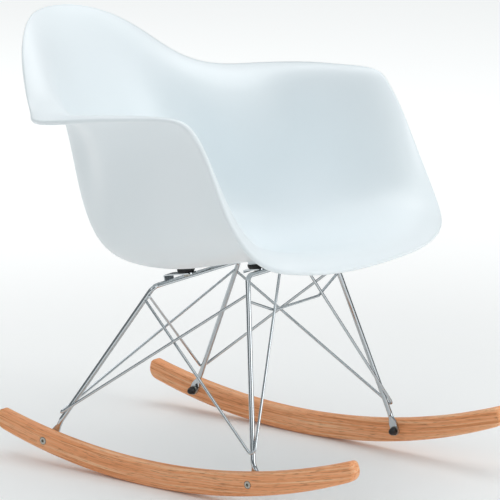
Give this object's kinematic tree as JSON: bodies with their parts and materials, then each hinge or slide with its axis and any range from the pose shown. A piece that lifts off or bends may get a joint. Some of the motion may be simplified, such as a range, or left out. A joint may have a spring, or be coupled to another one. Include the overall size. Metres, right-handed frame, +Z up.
{
  "type": "rocking chair",
  "caption": "Rocking armchair: moulded white shell seat on a braced chromed wire base with curved wooden rockers.",
  "frame": {"origin": "on the floor, on the centre line between the rockers, below the line where the rockers touch the floor at rest", "axes": "+X to the sitter's left, -Y the way the sitter faces, +Z up"},
  "size_m": [0.622, 0.8183, 0.741],
  "materials": {
    "white_plastic": "satin moulded polypropylene",
    "oiled_ash": "oiled ash, straight grain",
    "chromed_wire": "bright chrome plate",
    "black_rubber": "matt moulded rubber",
    "black_nut": "black oxide steel",
    "steel_fastener": "zinc-plated steel",
    "brass": "turned brass"
  },
  "bodies": {
    "root": {"bracket_front_left": "chromed_wire", "bracket_front_right": "chromed_wire", "bracket_rear_left": "chromed_wire", "bracket_rear_right": "chromed_wire", "cap_nuts": "black_nut", "front_brace_left": "chromed_wire", "front_brace_right": "chromed_wire", "front_leg_frame": "chromed_wire", "front_tie_wire": "chromed_wire", "mount_bolts": "steel_fastener", "mount_washers": "steel_fastener", "rear_brace_left": "chromed_wire", "rear_brace_right": "chromed_wire", "rear_leg_frame": "chromed_wire", "rocker_bolts": "steel_fastener", "rocker_left": "oiled_ash", "rocker_right": "oiled_ash", "shell": "white_plastic", "shock_pad_front_left": "black_rubber", "shock_pad_front_right": "black_rubber", "shock_pad_rear_left": "black_rubber", "shock_pad_rear_right": "black_rubber", "tab_washers": "steel_fastener", "threaded_inserts": "brass"}
  },
  "joints": []
}
